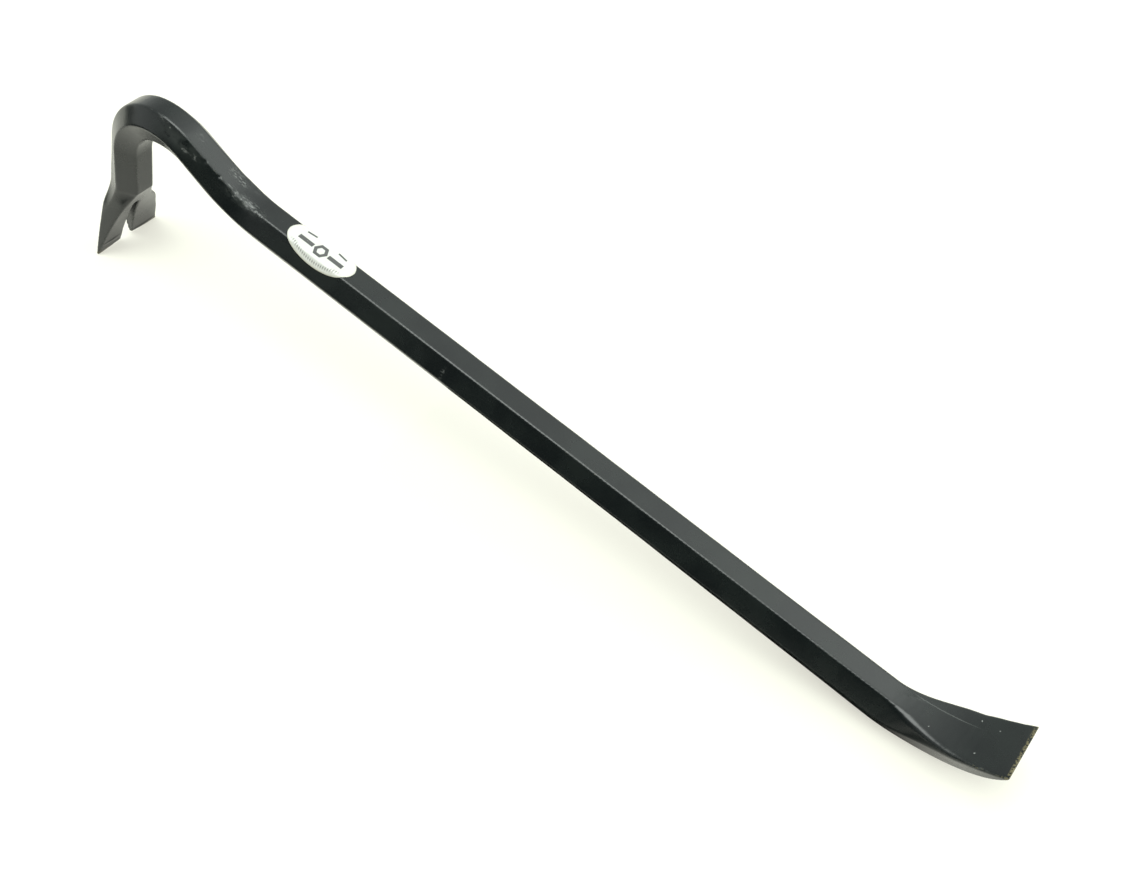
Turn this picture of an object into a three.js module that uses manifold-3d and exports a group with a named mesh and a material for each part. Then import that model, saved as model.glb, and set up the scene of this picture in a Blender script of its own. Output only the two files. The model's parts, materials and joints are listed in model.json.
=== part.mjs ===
// Gooseneck pry bar forged from one length of hexagonal steel bar, with an oval label.
// Millimetres, +Z up. The bar stands on its claw tips and on the heel of its chisel blade, as it does
// on a bench, and the origin is the centre of the underside of its bounding box.
import * as THREE from 'three';
import { mergeVertices } from 'three/addons/utils/BufferGeometryUtils.js';
import Module from 'manifold-3d';

// Driving dimensions. Until the last step the bar lies in its forging frame: the straight shank runs
// along X with the chisel end at +X, two of its flats face up and down, and it bends in the plane Y = 0.
const acrossFlats = 18;
const cornerRadius = 1.2;

// The gooseneck, walked from the shank towards the claw. Turns are in degrees, upwards first.
const shankStart = -14.8;
const neckRise = { radius: 62, turn: 24.4 };
const neckRun = 19.9;
const crown = { radius: 28.8, turn: -75.2 };
const legSweep = { radius: 38.1, turn: -35.9 };
const crownShift = 1.2;                   // bending draws the outer flat in and swells the inner one

const claw = { x: -111.3, depth: 91.3, start: 43.5, thickness: 1.1, halfWidth: 19.5, rootHalfWidth: 7.3 };
const clawBevelHollow = 7;                // degrees, between the bevel's first slope and its chord
const tipRelief = { halfWidth: 15, rise: 1.9 };   // the edge is worn back beside the slot
const slot = {
  offset: -1.3,                           // a little off the middle of the claw
  inner: { mouthHalfWidth: 4.6, headRadius: 2.4, headDepth: 52.5 },   // opened out for the nail's head
  outer: { mouthHalfWidth: 3.3, headRadius: 0.4, headDepth: 62 },
};

const blade = { x: 376, top: 29.6, thickness: 1.4, halfWidth: 13.8, shoulderHalfWidth: 12.5 };
const bladeTopStart = 325;                // the upper flat sweeps up from here
const heel = { x: 325, depth: 10.2, swellStart: 190 };   // and the lower from here, swollen by forging

const label = { x: 20, halfLength: 18.7, halfWidth: 9.4, gap: 0.15, thickness: 0.15 };

// Sizes worked out from the dimensions above
const flatHeight = acrossFlats / 2;
const flatHalfWidth = acrossFlats / (2 * Math.sqrt(3));
const stockHalfWidth = 2 * flatHalfWidth;

const stock = { upper: flatHalfWidth, widest: stockHalfWidth, lower: flatHalfWidth, widestShare: 0.5 };

const { degToRad, lerp, smoothstep } = THREE.MathUtils;
const spot = (x, z) => new THREE.Vector2(x, z);

// Closed solid through a list of rings with equal numbers of points, capped at both ends
function loft(rings) {
  const count = rings[0].length;
  const last = (rings.length - 1) * count;
  const capCentres = [rings[0], rings.at(-1)].map(
    (ring) => ring.reduce((sum, point) => sum.add(point), new THREE.Vector3()).divideScalar(count),
  );
  const positions = [...rings.flat(), ...capCentres].flatMap((point) => point.toArray());
  const firstCap = last + count;
  const triangles = [];
  for (let i = 0; i < count; i += 1) {
    const next = (i + 1) % count;
    for (let ring = 0; ring < last; ring += count) {
      triangles.push(ring + i, ring + next, ring + count + i);
      triangles.push(ring + next, ring + count + next, ring + count + i);
    }
    triangles.push(firstCap, next, i);
    triangles.push(firstCap + 1, last + i, last + next);
  }
  const geometry = new THREE.BufferGeometry();
  geometry.setAttribute('position', new THREE.Float32BufferAttribute(positions, 3));
  geometry.setIndex(triangles);
  return geometry;
}

// Six-cornered ring of the bar between its upper and lower flats. The flats' middles are points of
// the X-Z plane, and the widest corner lies a share of the way up between them.
function barRing(top, bottom, { upper, widest, lower, widestShare }) {
  const height = top.distanceTo(bottom);
  const right = [[upper, height], [widest, height * widestShare], [lower, 0]];
  const left = right.map(([across, up]) => [-across, up]).reverse();
  const corners = [...right, ...left].map(([across, up]) => spot(across, up));
  const easing = cornerRadius * Math.tan(degToRad(30));
  return corners.flatMap((corner, i) => {
    const [start, end] = [corners.at(i - 1), corners[(i + 1) % 6]].map((neighbour) => {
      const share = Math.min(0.4, easing / corner.distanceTo(neighbour));
      return corner.clone().lerp(neighbour, share);
    });
    return new THREE.QuadraticBezierCurve(start, corner, end).getPoints(3);
  }).map((point) => {
    const place = bottom.clone().lerp(top, point.y / height);
    return new THREE.Vector3(place.x, point.x, place.y);
  });
}

// Arc that leaves a point in a direction and ends at another point, as a function of a share 0 to 1
function arcTo(start, direction, end) {
  const chord = end.clone().sub(start);
  const halfTurn = Math.asin(direction.cross(chord) / (direction.length() * chord.length()));
  return (share) => direction.clone()
    .setLength(chord.length() * Math.sin(halfTurn * share) / Math.sin(halfTurn))
    .rotateAround(spot(0, 0), halfTurn * share)
    .add(start);
}

const smoothMax = (a, b) => (a ** 8 + b ** 8) ** (1 / 8);
const steps = (count) => Array.from({ length: count + 1 }, (_, i) => i / count);

// Chisel blade: the upper and lower flats sweep up to a thin straight edge, and the bar spreads
function bladeRings() {
  const edge = spot(blade.x, blade.top);
  const topArc = arcTo(spot(bladeTopStart, flatHeight), spot(1, 0), edge);
  const heelArc = arcTo(
    spot(heel.x, -heel.depth),
    spot(1, 0),
    spot(blade.x, blade.top - blade.thickness),
  );
  return steps(16).map((share) => {
    const shoulder = lerp(flatHalfWidth, blade.shoulderHalfWidth, smoothstep(share, 0, 0.65));
    const upper = shoulder + (blade.halfWidth - blade.shoulderHalfWidth) * Math.max(0, share - 0.65) / 0.35;
    return barRing(topArc(share), heelArc(share), {
      upper,
      widest: smoothMax(stockHalfWidth, upper),
      lower: lerp(flatHalfWidth, blade.halfWidth, share * smoothstep(share, 0, 1)),
      widestShare: lerp(0.5, 0.88, smoothstep(share, 0, 0.65)),
    });
  }).reverse();
}

// Gooseneck: plain stock carried along straight runs and bends, from the shank to the claw
function neckRings() {
  const rings = [];
  const place = spot(shankStart, 0);
  let heading = 0;                        // upwards from -X
  const outward = () => spot(Math.sin(heading), Math.cos(heading));
  const addRing = (drawnIn, swollen = drawnIn) => {
    const top = place.clone().addScaledVector(outward(), flatHeight - drawnIn);
    const bottom = place.clone().addScaledVector(outward(), -flatHeight - swollen);
    rings.push(barRing(top, bottom, {
      upper: flatHalfWidth - drawnIn / 2,
      widest: stockHalfWidth,
      lower: flatHalfWidth + swollen / 2,
      widestShare: (flatHeight + swollen) / (acrossFlats + swollen - drawnIn),
    }));
  };
  const advance = (distance) => place.add(spot(-Math.cos(heading), Math.sin(heading)).multiplyScalar(distance));
  const bend = ({ radius, turn }, count, drawnInAt, swollenAt) => {
    const part = degToRad(turn) / count;
    for (let i = 1; i <= count; i += 1) {
      heading += part / 2;
      advance(2 * radius * Math.sin(Math.abs(part) / 2));
      heading += part / 2;
      addRing(drawnInAt(i / count), swollenAt(i / count));
    }
  };
  const swell = crownShift / 2;
  addRing(0);
  bend(neckRise, 6, () => 0, (share) => swell * share ** 2);
  advance(neckRun);
  addRing(swell);
  bend(crown, 14, (share) => swell * (1 + share), (share) => swell * (1 + Math.sin(Math.PI * share)));
  bend(legSweep, 7, () => crownShift, (share) => swell * (1 - share));
  advance((claw.start + place.y) / -Math.sin(heading));
  addRing(0);
  return { rings, heading, outward: outward(), end: place };
}

// Claw: the leg spreads and is ground away from inside down to a thin edge
function clawRings({ heading, outward, end }) {
  const down = spot(-Math.cos(heading), Math.sin(heading));
  const outerRoot = end.clone().addScaledVector(outward, flatHeight);
  const innerRoot = end.clone().addScaledVector(outward, -flatHeight);
  const outerTip = spot(claw.x, -claw.depth);
  const innerTip = spot(claw.x + claw.thickness, -claw.depth);
  const bevelChord = innerTip.clone().sub(innerRoot);
  const outerArc = arcTo(outerRoot, down, outerTip);
  const innerArc = arcTo(innerRoot, bevelChord.rotateAround(spot(0, 0), -degToRad(clawBevelHollow)), innerTip);
  return steps(32).slice(1).map((share) => {
    const flare = lerp(claw.rootHalfWidth, claw.halfWidth, share);
    return barRing(outerArc(share), innerArc(share), {
      upper: lerp(flatHalfWidth, flare, smoothstep(share, 0, 0.36)),
      widest: smoothMax(stockHalfWidth, flare),
      lower: lerp(flatHalfWidth, flare, smoothstep(share, 0, 0.2)),
      widestShare: lerp(0.5, 0.85, smoothstep(share, 0, 0.7)),
    });
  });
}

// Nail slot cutter: a notch with a round head on each face of the claw, joined by slanted walls
function slotCutter() {
  const clearance = 1.5;
  const mouthDepth = claw.depth + 4;
  const notch = ({ mouthHalfWidth, headRadius, headDepth }, faceX) => {
    const head = steps(10).map((share) => {
      const angle = Math.PI * share;
      return [headRadius * Math.cos(angle), headDepth + headRadius * (1 - Math.sin(angle))];
    });
    const points = [[mouthHalfWidth, mouthDepth], ...head, [-mouthHalfWidth, mouthDepth]];
    return points.map(([across, depth]) => new THREE.Vector3(faceX(depth), slot.offset + across, -depth));
  };
  const bevelSlope = (acrossFlats - claw.thickness) / (claw.depth - claw.start);
  const innerX = (depth) => claw.x + claw.thickness + clearance + (claw.depth - depth) * bevelSlope;
  return loft([notch(slot.outer, () => claw.x - clearance), notch(slot.inner, innerX)]);
}

// Wide shallow wedge that wears the claw's edge back towards the slot
function tipReliefCutter() {
  const { halfWidth, rise } = tipRelief;
  const wedge = new THREE.Shape([spot(-halfWidth, 0), spot(0, rise), spot(halfWidth, 0), spot(0, -halfWidth)]);
  const cutter = new THREE.ExtrudeGeometry(wedge, { depth: acrossFlats, bevelEnabled: false });
  return cutter.rotateX(degToRad(90)).rotateZ(degToRad(90))
    .translate(claw.x - acrossFlats / 2, slot.offset, -claw.depth);
}

// Point of the shank's upper faces at a distance across, measured over the eased corners as on paper
function overShank(x, across, lift) {
  const easedAngle = degToRad(60);
  const flatEnd = flatHalfWidth - cornerRadius * Math.tan(easedAngle / 2);
  const past = Math.max(0, Math.abs(across) - flatEnd);
  const angle = Math.min(easedAngle, past / cornerRadius);
  const slide = past - angle * cornerRadius;
  const y = Math.min(Math.abs(across), flatEnd)
    + (cornerRadius + lift) * Math.sin(angle) + slide * Math.cos(angle);
  const z = flatHeight - cornerRadius + (cornerRadius + lift) * Math.cos(angle) - slide * Math.sin(angle);
  return new THREE.Vector3(x, Math.sign(across) * y, z);
}

// Oval label lying over the shank's upper flat and partly down the two flats beside it
function ovalLabel() {
  const rings = steps(32).map((share) => {
    const angle = degToRad(lerp(-88, 88, share));
    const x = label.x + label.halfLength * Math.sin(angle);
    const reach = label.halfWidth * Math.cos(angle);
    const outer = steps(32).map((across) => overShank(x, lerp(reach, -reach, across), label.gap + label.thickness));
    const inner = steps(32).map((across) => overShank(x, lerp(-reach, reach, across), label.gap));
    return [...outer, ...inner];
  });
  return loft(rings);
}

const wasm = await Module();
wasm.setup();

function toManifold(geometry) {
  geometry.deleteAttribute('normal');
  geometry.deleteAttribute('uv');
  const merged = mergeVertices(geometry);
  return new wasm.Manifold(new wasm.Mesh({
    numProp: 3,
    vertProperties: new Float32Array(merged.attributes.position.array),
    triVerts: new Uint32Array(merged.index.array),
  }));
}

function toGeometry(solid) {
  const { vertProperties, triVerts } = solid.getMesh();
  const geometry = new THREE.BufferGeometry();
  geometry.setAttribute('position', new THREE.BufferAttribute(vertProperties, 3));
  geometry.setIndex(new THREE.BufferAttribute(triVerts, 1));
  geometry.computeVertexNormals();
  return geometry;
}

const neck = neckRings();
const shankEnd = barRing(spot(heel.swellStart, flatHeight), spot(heel.swellStart, -flatHeight), stock);
const forging = loft([...bladeRings(), shankEnd, ...neck.rings, ...clawRings(neck)]);
const bar = toGeometry(
  toManifold(forging).subtract(toManifold(slotCutter())).subtract(toManifold(tipReliefCutter())),
);

const lacqueredSteel = new THREE.MeshStandardMaterial({ color: 0x22282a, roughness: 0.42, metalness: 0.3 });
const labelFilm = new THREE.MeshStandardMaterial({ color: 0xe9ebe6, roughness: 0.5, metalness: 0 });

const forgedBar = new THREE.Mesh(bar, lacqueredSteel);
forgedBar.name = 'forged_bar';
const labelMesh = new THREE.Mesh(ovalLabel(), labelFilm);
labelMesh.name = 'oval_label';

// Tilt the bar until its claw tips and the round heel of its blade touch one level surface
const heelChord = spot(blade.x - heel.x, blade.top - blade.thickness + heel.depth);
const heelRadius = heelChord.lengthSq() / (2 * heelChord.y);
const span = heel.x - claw.x;
const rise = claw.depth - heel.depth + heelRadius;
const standAngle = Math.atan2(rise, span) - Math.asin(heelRadius / Math.hypot(rise, span));

const pryBar = new THREE.Group();
pryBar.add(forgedBar, labelMesh);
pryBar.rotation.y = standAngle;
pryBar.updateMatrixWorld(true);
const box = new THREE.Box3().setFromObject(pryBar, true);
const middle = box.getCenter(new THREE.Vector3());
pryBar.position.set(-middle.x, -middle.y, -box.min.z);

export default pryBar;
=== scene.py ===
"""Looks of the forged pry bar: lacquered, scuffed steel and its oval label, on a pale table."""

import json
import math

import bpy
import numpy as np
from mathutils import Matrix, Vector, noise


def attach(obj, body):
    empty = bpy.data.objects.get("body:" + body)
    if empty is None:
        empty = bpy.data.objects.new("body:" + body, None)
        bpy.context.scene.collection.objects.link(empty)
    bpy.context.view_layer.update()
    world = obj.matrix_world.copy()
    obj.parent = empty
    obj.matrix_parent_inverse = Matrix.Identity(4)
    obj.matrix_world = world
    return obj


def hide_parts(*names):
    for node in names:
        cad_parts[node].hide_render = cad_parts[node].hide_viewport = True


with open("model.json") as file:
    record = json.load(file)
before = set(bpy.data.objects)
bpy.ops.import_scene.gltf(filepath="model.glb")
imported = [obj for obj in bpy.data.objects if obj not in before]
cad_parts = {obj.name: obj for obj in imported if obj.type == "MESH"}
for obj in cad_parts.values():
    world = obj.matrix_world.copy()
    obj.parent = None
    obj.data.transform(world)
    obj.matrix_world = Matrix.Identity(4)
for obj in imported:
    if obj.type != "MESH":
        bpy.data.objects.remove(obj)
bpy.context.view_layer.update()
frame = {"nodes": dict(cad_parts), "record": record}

# Lengths below are millimetres unless they say otherwise; Blender itself works in metres.
MM = 0.001

# The bar in its forging frame, as in the CAD source: the shank lies along X, its middle on Y = Z = 0
ACROSS_FLATS = 18.0
SHANK_TOP_X = 200.0                     # where the record's shank_top mount is on the shank
LABEL_X, LABEL_HALF_LENGTH, LABEL_HALF_WIDTH = 20.0, 18.7, 9.4
LABEL_TOP = ACROSS_FLATS / 2 + 0.3      # height of the label's outer face
LABEL_ART_MIDDLE = -0.6                 # across the label, where its hexagon and bars stand
BLADE_TIP_X = (371.0, 375.5)            # where wear of the blade's cutting edge begins and is greatest
CLAW_TIP_DEPTH = (86.0, 90.5)           # the same for the claw's tips, below the shank

# Fineness of the bar's mesh
CREASE = math.cos(math.radians(12))     # an edge whose two ends' normals differ by more stays straight
FACET_DEPTH = 0.003                     # how far a facet may stay off the curve it stands for
BAR_SPACING = 0.4                       # between points, before the mesh is thinned out
BAR_TRIANGLES = 190_000

# Marks of the hammer and of use. Places and reaches are in the forging frame, along, across and up.
DENTS = [                               # (place, reach, how far the surface rises)
    ((-23, -5.0, 10.0), (6.5, 3.5, 4.0), -0.45),
    ((-25, 5.2, 10.2), (9.0, 3.0, 4.0), 0.5),
    ((-29, -5.3, 10.6), (3.0, 1.6, 1.6), -0.35),
    ((-20, -5.2, 9.1), (4.0, 1.8, 1.6), -0.45),
    ((-12.5, -5.2, 8.8), (2.5, 1.0, 1.2), -0.2),
    ((-37.4, -5.3, 13.9), (0.9, 0.9, 0.9), -0.4),
    ((-45.8, -5.5, 17.0), (1.0, 1.0, 1.0), -0.3),
    ((335.5, 3.6, 9.8), (2.2, 0.6, 1.5), 0.2),
    ((333.0, 2.2, 9.5), (1.6, 0.5, 1.5), 0.15),
]
SCUFFS = [                              # streaks where tools have slid, as (place, reach)
    ((-34.0, 2.4, 12.7), (3.6, 1.8, 2.0)),
    ((-30.0, 1.7, 11.3), (2.5, 1.0, 2.0)),
    ((-32.1, -3.8, 11.9), (1.2, 0.8, 1.5)),
    ((-27.0, -5.0, 10.2), (3.5, 1.6, 1.6)),
    ((-20.0, -4.4, 9.2), (6.0, 2.2, 1.5)),
    ((-13.0, -5.2, 8.8), (3.0, 1.0, 1.2)),
    ((-54.2, 1.0, 21.0), (2.5, 1.0, 1.2)),
    ((-71.0, -5.0, 24.1), (2.0, 0.7, 1.0)),
    ((-56.0, -7.4, 17.8), (1.2, 1.6, 1.0)),
    ((-50.6, -6.8, 16.5), (1.8, 0.9, 1.2)),
    ((98.5, -8.8, 3.0), (0.6, 1.6, 2.6)),
]
MATT_WITH_PAINTED_SHEEN = [                              # worn matt, and lighter in colour for a painted sheen, as (place, reach)
    ((-62, -6.8, 19.5), (11, 2.6, 4)),
    ((-24, -5.0, 10.0), (9, 2.0, 3)),
]
FLECKS = [                              # small pale chips, as (place, radius)
    ((363.0, -6.9, 19.6), 0.45),
    ((366.6, 6.9, 21.9), 0.35),
    ((359.8, 8.4, 17.8), 0.4),
    ((344.8, -4.8, 11.7), 0.35),
    ((341.2, -4.2, 10.6), 0.3),
    ((350.4, 1.0, 12.8), 0.25),
    ((357.5, 4.4, 16.4), 0.35),
    ((-100.4, -9.0, -17.5), 0.5),
    ((-66.3, -5.8, 22.9), 0.4),
    ((-57.0, -7.6, 17.9), 0.35),
]
SOFTENED = [                            # the claw's shoulders and the blade's edges, as (place, reach)
    ((x, side * y, z), reach)
    for x, y, z, reach in (
        (-98.5, 9.2, -51.0, (4, 2.5, 4)),
        (336.0, 6.1, 9.9, (6, 3, 3)),
        (343.0, 7.7, 11.3, (6, 3, 3)),
        (350.0, 9.5, 13.5, (6, 3, 3)),
        (357.0, 11.8, 16.5, (6, 2, 3)),
    )
    for side in (-1, 1)
]
PALE_LINE_Y = 4.8                         # of a faint pale line along the top of the blade
PALE_LINE_FADES_IN, PALE_LINE_FADES_OUT = (333, 338), (352, 363)    # along X
FAR_CLAW_BULGE = 1.6                    # how much further the claw's far horn spreads
FAR_SHOULDER_CUT = 1.8                  # how far its shoulder is cut back, where it begins

# The row frame and the forging frame

mount = next(m for m in frame["record"]["mounts"] if m["name"] == "shank_top")
shank_up = np.array(mount["axis"], float)
shank_along = np.array([shank_up[2], 0.0, -shank_up[0]])


def to_forging(points):
    """Row-frame points in metres as forging-frame points in millimetres."""
    offset = (points - np.array(mount["pos_m"])) / MM
    return np.stack(
        [SHANK_TOP_X + offset @ shank_along, offset[:, 1], ACROSS_FLATS / 2 + offset @ shank_up],
        axis=1,
    )


# Fine meshes from the CAD solids

def cad_surface(name):
    """Points and triangles of a CAD node, with each corner point held once."""
    mesh = frame["nodes"][name].data
    points = np.empty(len(mesh.vertices) * 3)
    mesh.vertices.foreach_get("co", points)
    mesh.calc_loop_triangles()
    triangles = np.empty(len(mesh.loop_triangles) * 3, int)
    mesh.loop_triangles.foreach_get("vertices", triangles)
    points, merged = np.unique(points.reshape(-1, 3).round(7), axis=0, return_inverse=True)
    return points, merged.reshape(-1)[triangles].reshape(-1, 3)


def normals_of(points, triangles):
    """Normals at the points, where each triangle counts by its area."""
    corners = points[triangles]
    facing = np.cross(corners[:, 1] - corners[:, 0], corners[:, 2] - corners[:, 0])
    normals = np.zeros_like(points)
    for corner in triangles.T:
        np.add.at(normals, corner, facing)
    return normals / np.linalg.norm(normals, axis=1, keepdims=True)


def edges_of(triangles):
    """Each edge once, as two points, and the numbers of each triangle's three edges."""
    sides = np.sort(triangles[:, [[0, 1], [1, 2], [2, 0]]], axis=2)
    stride = triangles.max() + 1
    codes, side_edge = np.unique(sides[:, :, 0] * stride + sides[:, :, 1], return_inverse=True)
    return np.stack([codes // stride, codes % stride], axis=1), side_edge.reshape(-1, 3)


def halve_curved_edges(points, triangles):
    """Halves every edge that stands for a curve, at the middle of the curve that its ends describe."""
    edges, side_edge = edges_of(triangles)
    start, end = edges.T
    along = points[end] - points[start]
    normals = normals_of(points, triangles)
    bulge = (along * normals[end]).sum(1, keepdims=True) * normals[end]
    bulge -= (along * normals[start]).sum(1, keepdims=True) * normals[start]
    bulge /= 8
    is_crease = (normals[start] * normals[end]).sum(1) < CREASE
    is_curved = (np.linalg.norm(bulge, axis=1) > FACET_DEPTH * MM) & ~is_crease
    middles = ((points[start] + points[end]) / 2 + bulge)[is_curved]

    middle_of = np.full(len(edges), -1)
    middle_of[is_curved] = len(points) + np.arange(len(middles))
    middle = middle_of[side_edge]
    curved_sides = (middle >= 0).sum(1)

    def turned(count, first):
        """Corners and side middles of the triangles with so many curved sides, a given side put first."""
        rows = np.flatnonzero(curved_sides == count)[:, None]
        order = (first[rows] + np.arange(3)) % 3
        return np.hstack([triangles[rows, order], middle[rows, order]]).T

    made = []
    a, b, c, ab, _, _ = turned(1, np.argmax(middle, axis=1))
    made += [(a, ab, c), (ab, b, c)]
    a, b, c, ab, bc, _ = turned(2, (np.argmin(middle, axis=1) + 1) % 3)
    made += [(ab, b, bc), (a, ab, bc), (a, bc, c)]
    a, b, c, ab, bc, ca = turned(3, np.zeros(len(triangles), int))
    made += [(a, ab, ca), (ab, b, bc), (ca, bc, c), (ab, bc, ca)]
    halves = [np.stack(corners, axis=1) for corners in made]
    return np.vstack([points, middles]), np.vstack([triangles[curved_sides == 0], *halves])


def rounded(name, rounds):
    """A CAD node's surface, rounded where the CAD has flat facets for a curve."""
    points, triangles = cad_surface(name)
    for _ in range(rounds):
        points, triangles = halve_curved_edges(points, triangles)
    return points, triangles


def modified(points, triangles, kind, **settings):
    """Points and triangles of the same surface after one Blender modifier."""
    rough = mesh_object("rough", points, triangles)
    modifier = rough.modifiers.new("modifier", kind)
    for name, value in settings.items():
        setattr(modifier, name, value)
    shape = rough.evaluated_get(bpy.context.evaluated_depsgraph_get()).to_mesh()
    points = np.empty(len(shape.vertices) * 3)
    shape.vertices.foreach_get("co", points)
    shape.calc_loop_triangles()
    triangles = np.empty(len(shape.loop_triangles) * 3, int)
    shape.loop_triangles.foreach_get("vertices", triangles)
    bpy.data.objects.remove(rough)
    return points.reshape(-1, 3), triangles.reshape(-1, 3)


def relaxed(points, triangles, rounds, amount=0.5):
    """Each point moved towards the middle of its neighbours, by an amount that may differ by point."""
    edges, _ = edges_of(triangles)
    neighbours = np.bincount(edges.ravel(), minlength=len(points))[:, None]
    for _ in range(rounds):
        total = np.zeros_like(points)
        np.add.at(total, edges[:, 0], points[edges[:, 1]])
        np.add.at(total, edges[:, 1], points[edges[:, 0]])
        points = points + amount * (total / neighbours - points)
    return points


def mesh_object(name, points, triangles, **fields):
    """Smooth-shaded object whose points carry the given fields as attributes."""
    mesh = bpy.data.meshes.new(name)
    mesh.from_pydata(points, [], triangles)
    mesh.shade_smooth()
    for field, values in fields.items():
        is_vector = values.ndim == 2
        attribute = mesh.attributes.new(field, "FLOAT_VECTOR" if is_vector else "FLOAT", "POINT")
        attribute.data.foreach_set("vector" if is_vector else "value", values.astype(np.float32).ravel())
    obj = bpy.data.objects.new(name, mesh)
    bpy.context.scene.collection.objects.link(obj)
    return obj


def noise_at(places, size, seed):
    """Smooth noise, about -1 to 1, over features of a size in millimetres."""
    shift = Vector((seed * 17.3, seed * 5.1, seed * 9.7))
    return np.array([noise.noise(Vector(place) + shift) for place in places / size])


def ramp(values, low, high):
    """Smooth step of values from 0 at low to 1 at high."""
    share = np.clip((values - low) / (high - low), 0, 1)
    return share * share * (3 - 2 * share)


def near(places, centre, reach):
    """1 at a centre, fading to nothing beyond a reach in millimetres, which may differ by direction."""
    return np.exp(-(((places - centre) / reach) ** 2).sum(1))


def marked(places, marks):
    """1 on any of several marks, fading round each."""
    return np.clip(sum(near(places, centre, reach) for centre, reach in marks), 0, 1)


def forged(points, triangles):
    """The bar's surface as hammer, heat and use have left it."""
    places = to_forging(points)
    x, y, z = places.T
    leg_into_claw = near(places[:, [0, 2]], (-105, -43), (6, 4)) * ramp(np.abs(y), 6.5, 9)
    softened = np.maximum(0.25 * leg_into_claw, marked(places, SOFTENED))
    points = relaxed(points, triangles, 50, 0.5 * softened[:, None])
    horn = ramp(-z, 52, 65) * ramp(-z, 92, 76)
    shoulder = near(places[:, [2]], -52.5, 5.5)
    points[:, 1] += FAR_CLAW_BULGE * MM * horn * ramp(y, 4, 12)
    points[:, 1] -= FAR_SHOULDER_CUT * MM * shoulder * ramp(y, 5, 11)

    normals = normals_of(points, triangles)
    waves = 0.09 * noise_at(places, 24, 1)
    ripples = 0.025 * noise_at(places, 6, 2)
    height = waves + ripples
    unevenness = 1 + 0.35 * noise_at(places, 3.2, 3)
    for centre, reach, rise in DENTS:
        height += rise * near(places, centre, reach) * unevenness
    return points + normals * height[:, None] * MM


def lacquered_bar():
    """The CAD solid, evenly meshed, shaped by the forge and thinned to what its shape needs."""
    points, triangles = rounded("forged_bar", 3)
    points, triangles = modified(points, triangles, "REMESH", mode="VOXEL", voxel_size=BAR_SPACING * MM)
    points = relaxed(points, triangles, 1)
    points = forged(points, triangles)
    points, triangles = modified(points, triangles, "DECIMATE", ratio=BAR_TRIANGLES / len(triangles))
    normals = normals_of(points, triangles)
    depth = ((points - relaxed(points, triangles, 5)) * normals).sum(1) / MM
    places = to_forging(points)
    tips = np.maximum(ramp(places[:, 0], *BLADE_TIP_X), ramp(-places[:, 2], *CLAW_TIP_DEPTH))
    return mesh_object(
        "lacquered_bar", points, triangles,
        forging=places,
        edge=ramp(depth, 0.03, 0.12),
        tips=tips,
        scuffed=marked(places, SCUFFS),
        # worn matt patches, where a painted sheen lightens the colour
        dulled=marked(places, MATT_WITH_PAINTED_SHEEN),
    )


def printed_label():
    """The CAD film, whose points carry their places on the film as it lay flat."""
    points, triangles = rounded("oval_label", 1)
    places = to_forging(points)
    across = places[:, 1] + np.sign(places[:, 1]) * (LABEL_TOP - places[:, 2]) / math.sqrt(3)
    print_places = np.stack([places[:, 0] - LABEL_X, across, np.zeros(len(points))], axis=1)
    return mesh_object("printed_label", points, triangles, printed=print_places)


# Materials

class Nodes:
    """Short calls that add linked nodes to one node tree."""

    def __init__(self, owner):
        owner.use_nodes = True
        self.tree = owner.node_tree
        self.tree.nodes.clear()

    def add(self, kind, settings=(), output=0, **inputs):
        """Adds a node and returns one of its outputs. An input is a value or another node's output.
        It is named as in Blender, or by its number as _0, _1."""
        node = self.tree.nodes.new("ShaderNode" + kind)
        for name, value in dict(settings).items():
            setattr(node, name, value)
        for name, value in inputs.items():
            socket = node.inputs[int(name[1:]) if name[0] == "_" else name.replace("_", " ")]
            if isinstance(value, bpy.types.NodeSocket):
                self.tree.links.new(value, socket)
            else:
                socket.default_value = value
        return node.outputs[output] if node.outputs else None

    def field(self, name, output="Fac"):
        """A field that the mesh's points carry."""
        return self.add("Attribute", {"attribute_name": name}, output)

    def math(self, operation, *values):
        inputs = {f"_{i}": value for i, value in enumerate(values)}
        return self.add("Math", {"operation": operation}, **inputs)

    def vector(self, operation, *values, output="Vector"):
        inputs = {f"_{i}": value for i, value in enumerate(values)}
        return self.add("VectorMath", {"operation": operation}, output, **inputs)

    def ramp(self, value, low, high, first=0.0, last=1.0):
        """Smooth step of a value, from first at low to last at high."""
        if low > high:
            low, high, first, last = high, low, last, first
        return self.add(
            "MapRange", {"interpolation_type": "SMOOTHSTEP"},
            Value=value, From_Min=low, From_Max=high, To_Min=first, To_Max=last,
        )

    def noise(self, place, size, detail=2.0, roughness=0.5):
        """Noise from 0 to 1 over features of a size, in the units of the place."""
        return self.add("TexNoise", Vector=place, Scale=1 / size, Detail=detail, Roughness=roughness)

    def most(self, *values):
        """The greatest of several values."""
        greatest = values[0]
        for value in values[1:]:
            greatest = self.math("MAXIMUM", greatest, value)
        return greatest

    def product(self, first, *values):
        for value in values:
            first = self.math("MULTIPLY", first, value)
        return first

    def mix(self, share, first, second):
        return self.add("Mix", {"data_type": "RGBA"}, 2, _0=share, _6=first, _7=second)

    def bump(self, height, distance):
        """Normals of a relief whose full height is a distance in millimetres."""
        return self.add("Bump", Height=height, Distance=distance * MM, Strength=1.0)


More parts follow.
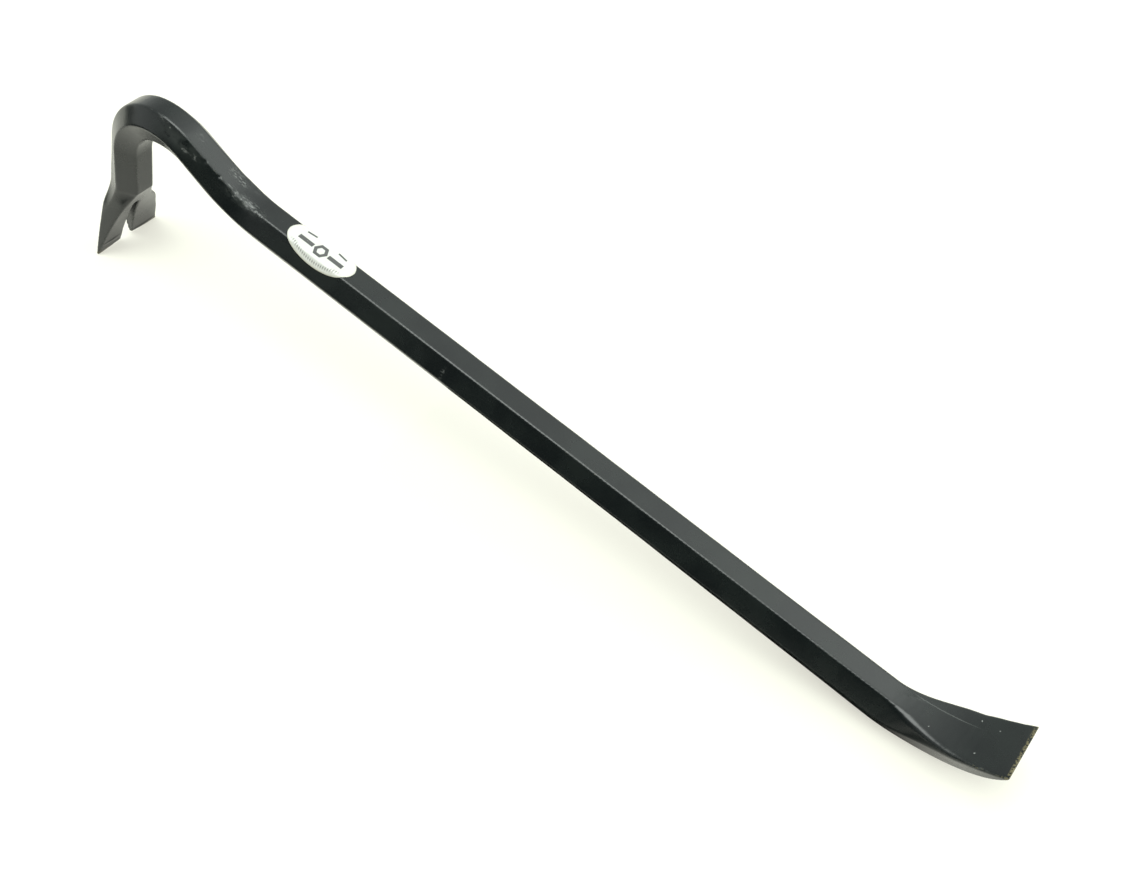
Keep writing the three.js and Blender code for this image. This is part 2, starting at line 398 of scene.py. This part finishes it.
def lacquer():
    """Thin black lacquer over forged steel, cloudy, chipped at its edges and scuffed by other tools. Its
    edges are lighter for wear and a painted highlight, and its worn matt patches are lighter for a
    painted sheen.
    """
    material = bpy.data.materials.new("black_lacquer")
    n = Nodes(material)
    place = n.field("forging", "Vector")
    cloudy = n.noise(place, 20, 4)
    mottled = n.noise(place, 2.2, 4, 0.6)
    rolled = n.noise(n.vector("MULTIPLY", place, (0.06, 1, 1)), 0.9, 3)
    grain = n.noise(place, 0.5, 2, 0.6)

    colour = n.mix(n.ramp(cloudy, 0.3, 0.7), (0.0045, 0.0065, 0.0068, 1), (0.0078, 0.0110, 0.0103, 1))
    edge = n.field("edge")
    # Lighter along the edges: worn lacquer, and a painted highlight on the edges
    edge_wear_and_highlight = n.product(edge, n.ramp(mottled, 0.40, 0.62))
    colour = n.mix(n.product(edge_wear_and_highlight, 0.7), colour, (0.040, 0.047, 0.042, 1))
    chips = n.noise(place, 1.1, 3, 0.65)
    chipped = n.product(edge, n.ramp(chips, 0.60, 0.64), n.ramp(cloudy, 0.42, 0.6))
    tips = n.field("tips")
    tip_edge = n.most(n.product(edge, tips), n.ramp(tips, 0.88, 1.0))
    chipped = n.most(chipped, n.product(tip_edge, n.ramp(chips, 0.46, 0.52)))
    colour = n.mix(chipped, colour, (0.125, 0.110, 0.055, 1))
    # Worn matt patches, lighter in colour: a painted sheen
    dulled = n.product(n.field("dulled"), n.ramp(n.noise(place, 3.5, 4, 0.6), 0.3, 0.55))
    colour = n.mix(n.product(dulled, 0.5), colour, (0.040, 0.047, 0.043, 1))

    slanted = n.add("Mapping", Vector=place, Rotation=(0, 0, 0.7), Scale=(0.45, 1.5, 1.0))
    streaks = n.ramp(n.noise(slanted, 1.1, 3, 0.6), 0.50, 0.60)
    scuff = n.product(n.field("scuffed"), streaks)
    drift = n.add("TexNoise", (), 1, Vector=place, Scale=1.5)
    wobbly = n.vector("MULTIPLY_ADD", drift, (0.7, 0.7, 0.7), place)
    flecks = n.most(*[
        n.ramp(n.vector("DISTANCE", wobbly, centre, output="Value"), radius, radius * 0.6)
        for centre, radius in FLECKS
    ])
    x, y, z = n.add("SeparateXYZ", Vector=wobbly).node.outputs
    # A faint pale line along the top of the blade
    pale_line = n.product(
        n.ramp(n.math("ABSOLUTE", n.math("SUBTRACT", y, PALE_LINE_Y)), 0.32, 0.12),
        n.ramp(x, *PALE_LINE_FADES_IN), n.ramp(x, *PALE_LINE_FADES_OUT, 1.0, 0.0), n.ramp(z, 3, 5), 0.22,
    )
    light = n.most(n.product(scuff, 0.65), n.product(flecks, 0.8), pale_line)
    colour = n.mix(light, colour, (0.20, 0.21, 0.20, 1))

    roughness = n.math("ADD", n.ramp(cloudy, 0.25, 0.75, 0.19, 0.27), n.product(mottled, 0.06))
    roughness = n.math("ADD", roughness, n.product(n.most(light, edge_wear_and_highlight, dulled, chipped), 0.25))
    height = n.math("ADD", n.product(mottled, 0.6), n.product(rolled, 0.5))
    height = n.math("ADD", height, n.product(grain, 0.12))
    height = n.math("SUBTRACT", height, n.product(scuff, 1.2))
    normal = n.bump(height, 0.03)
    n.add("OutputMaterial", Surface=n.add(
        "BsdfPrincipled", Base_Color=colour, Roughness=roughness, Normal=normal, IOR=1.5,
    ))
    return material


def printed_film():
    """White vinyl film, with a plain printed pattern of a hexagon, bars and dashes."""
    material = bpy.data.materials.new("printed_film")
    n = Nodes(material)
    place = n.field("printed", "Vector")
    along, across, _ = n.add("SeparateXYZ", Vector=place).node.outputs

    def within(value, middle, half):
        """1 where a value is within a distance of the middle."""
        off = n.math("ABSOLUTE", n.math("SUBTRACT", value, middle))
        return n.ramp(off, half + 0.12, half - 0.12)

    def bar_mark(x, y, half_length, half_width, lean=0.0):
        leaning = n.math("SUBTRACT", across, n.product(n.math("SUBTRACT", along, x), lean))
        return n.product(within(along, x, half_length), within(leaning, y, half_width))

    side = n.math("ABSOLUTE", along)
    rise = n.math("ABSOLUTE", n.math("SUBTRACT", across, LABEL_ART_MIDDLE))
    slope = n.math("ADD", n.product(side, math.sqrt(3) / 2), n.product(rise, 0.5))
    hexagon = n.math("MAXIMUM", rise, slope)
    ring = within(hexagon, 2.5, 0.8)
    bars = n.most(*[bar_mark(x, LABEL_ART_MIDDLE, 4.2, 1.1) for x in (-8.6, 8.6)])
    ticks = n.most(bar_mark(-9.0, 3.9, 2.6, 0.45, 0.12), bar_mark(9.0, 3.9, 2.6, 0.45, -0.12))
    in_oval = n.vector("DIVIDE", place, (LABEL_HALF_LENGTH, LABEL_HALF_WIDTH, 1))
    oval = n.vector("LENGTH", in_oval, output="Value")
    dashes = n.product(
        within(oval, 0.80, 0.035), n.ramp(n.math("SINE", n.product(along, 5.2)), -0.35, 0.0),
        n.ramp(across, -3.5, -4.0),
    )
    ink = n.most(ring, bars, ticks, dashes)
    worn_ink = n.product(ink, n.ramp(n.noise(place, 0.7, 3, 0.65), 0.72, 0.62, 0.55, 0.93))
    grime = n.ramp(n.noise(place, 4, 4, 0.6), 0.35, 0.75)
    grime = n.math("MAXIMUM", n.product(grime, 0.5), n.ramp(oval, 0.93, 1.0))
    paper = n.mix(grime, (0.62, 0.63, 0.595, 1), (0.54, 0.54, 0.47, 1))
    colour = n.mix(worn_ink, paper, (0.035, 0.035, 0.038, 1))
    roughness = n.ramp(grime, 0, 1, 0.32, 0.5)
    height = n.math("SUBTRACT", n.noise(place, 3.5, 3), n.product(n.noise(place, 0.4, 2), 0.1))
    n.add("OutputMaterial", Surface=n.add(
        "BsdfPrincipled", Base_Color=colour, Roughness=roughness, Normal=n.bump(height, 0.1),
    ))
    return material


# The two pieces

bar = lacquered_bar()
label = printed_label()
bar.data.materials.append(lacquer())
label.data.materials.append(printed_film())
for piece, node, finish in ((bar, "forged_bar", "lacquered_steel"), (label, "oval_label", "label_film")):
    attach(piece, "root")
    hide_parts(node)


# Table, light and camera

def stage_plane(name, low, high, height, colour, roughness, fade=None, **inputs):
    """Level plane between two corners, in metres, which may fade out along X."""
    mesh = bpy.data.meshes.new(name)
    corners = [(low[0], low[1]), (high[0], low[1]), (high[0], high[1]), (low[0], high[1])]
    mesh.from_pydata([(x, y, height) for x, y in corners], [], [range(4)])
    obj = bpy.data.objects.new(name, mesh)
    bpy.context.scene.collection.objects.link(obj)
    material = bpy.data.materials.new(name)
    n = Nodes(material)
    if fade:
        along = n.add("SeparateXYZ", Vector=n.add("TexCoord", (), "Object"))
        inputs["Alpha"] = n.ramp(along, *fade, 1.0, 0.0)
    shader = n.add("BsdfPrincipled", Base_Color=colour, Roughness=roughness, **inputs)
    n.add("OutputMaterial", Surface=shader)
    mesh.materials.append(material)
    return obj


def dark_card(name, low, high, fade=None):
    """Black card on the table that only reflections see."""
    card = stage_plane(name, low, high, 0.001, (0, 0, 0, 1), 1.0, fade, Specular_IOR_Level=0.0)
    card.visible_camera = False
    card.visible_diffuse = False
    card.visible_shadow = False


# A light table: its own glow takes the shadows off it
stage_plane(
    "table", (-20, -20), (20, 20), 0, (0.36, 0.36, 0.32, 1), 0.7,
    Emission_Color=(1.0, 0.98, 0.88, 1), Emission_Strength=0.56,
)

# The dark side of the studio, in front of the bar, and the dark under its shank, fading out at the blade
dark_card("dark_front", (-4, -6), (4, -0.11))
dark_card("dark_under", (-0.05, -0.06), (0.24, 0.08), fade=(0.195, 0.235))

world = bpy.data.worlds.new("studio")
bpy.context.scene.world = world
n = Nodes(world)
direction = n.add("TexCoord", (), "Generated")


def towards(x, y, z):
    """Cosine of the angle between the world's direction and this one."""
    return n.vector("DOT_PRODUCT", direction, Vector((x, y, z)).normalized(), output="Value")


sky = n.ramp(towards(0, 0, 1), 0.1, 0.35, 0.9, 0.6)
softbox_side = towards(0.45, 0.5, 0.74)
softbox_edge = n.ramp(softbox_side, 0.45, 0.95, 0.0, 0.95)
softbox_middle = n.ramp(softbox_side, 0.88, 1.0, 0.0, 1.4)
softbox = n.math("ADD", softbox_edge, softbox_middle)
lamp = n.ramp(towards(-0.13, -0.25, 0.96), 0.88, 0.97, 0.0, 6.0)
dark_side = n.ramp(towards(0.35, -0.94, 0), 0.45, 0.80, 1.0, 0.02)
strength = n.product(n.math("ADD", n.math("ADD", sky, softbox), lamp), dark_side)
n.add("OutputWorld", Surface=n.add("Background", Color=(0.95, 1.0, 0.96, 1), Strength=strength))

camera = bpy.data.objects.new("camera", bpy.data.cameras.new("camera"))
camera.data.sensor_fit = "HORIZONTAL"
camera.data.sensor_width = 36
camera.data.lens = 42.22
camera.data.clip_start, camera.data.clip_end = 0.01, 100
right, up = Vector((0.80116, 0.59534, 0.06097)), Vector((-0.48847, 0.59166, 0.64135))
turn = Matrix((right, up, right.cross(up))).transposed()
camera.matrix_world = Matrix.Translation((0.22769, -0.30441, 0.47895)) @ turn.to_4x4()
bpy.context.scene.collection.objects.link(camera)
bpy.context.scene.camera = camera
bpy.context.scene.view_settings.view_transform = "Standard"
